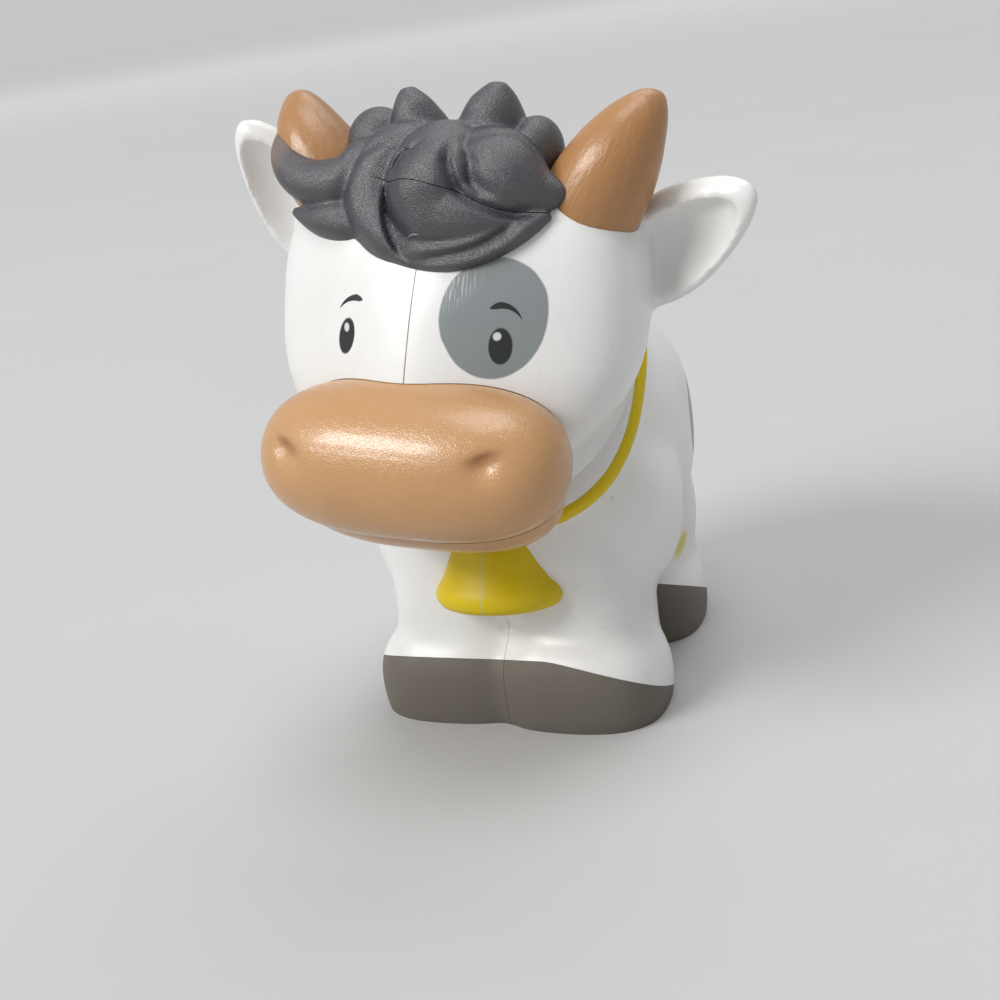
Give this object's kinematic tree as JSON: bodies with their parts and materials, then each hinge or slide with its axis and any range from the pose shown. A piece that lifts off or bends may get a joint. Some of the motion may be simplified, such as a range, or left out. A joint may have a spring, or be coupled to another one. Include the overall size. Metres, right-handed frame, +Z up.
{
  "type": "toy cow figure",
  "caption": "Small chunky moulded plastic cow that stands on four hooves, with a bell on a collar and a head that turns on a slanted neck.",
  "frame": {"origin": "on the floor, under the middle of the cow's box at rest", "axes": "+Z up; the cow faces -Y and its own left side is +X"},
  "size_m": [0.0622, 0.0664, 0.0773],
  "materials": {
    "white_plastic": "semi-gloss white",
    "tan_plastic": "glossy tan",
    "horn_plastic": "glossy tan-brown",
    "hair_plastic": "satin charcoal with a fine grain",
    "yellow_plastic": "satin yellow",
    "hoof_plastic": "satin taupe grey",
    "rubber": "matt black"
  },
  "bodies": {
    "body": {"body_shell_left": "white_plastic", "body_shell_right": "white_plastic", "front_hoof_left": "hoof_plastic", "front_hoof_right": "hoof_plastic", "rear_hoof_left": "hoof_plastic", "rear_hoof_right": "hoof_plastic", "collar": "yellow_plastic", "bell": "yellow_plastic", "tail": "white_plastic", "tail_tuft": "hair_plastic", "neck_ring": "rubber"},
    "head": {"head_shell_left": "white_plastic", "head_shell_right": "white_plastic", "hair_fringe": "hair_plastic", "hair_crown": "hair_plastic", "snout": "tan_plastic", "jaw": "tan_plastic", "horn_left": "horn_plastic", "horn_right": "horn_plastic", "neck_pin": "white_plastic"}
  },
  "joints": [
    {"name": "head_turn", "type": "hinge", "parent": "body", "child": "head", "pos_m": [-0.003, -0.00296, 0.0405], "axis": [0, -0.7071, 0.7071], "range_deg": [-32, 48]}
  ]
}
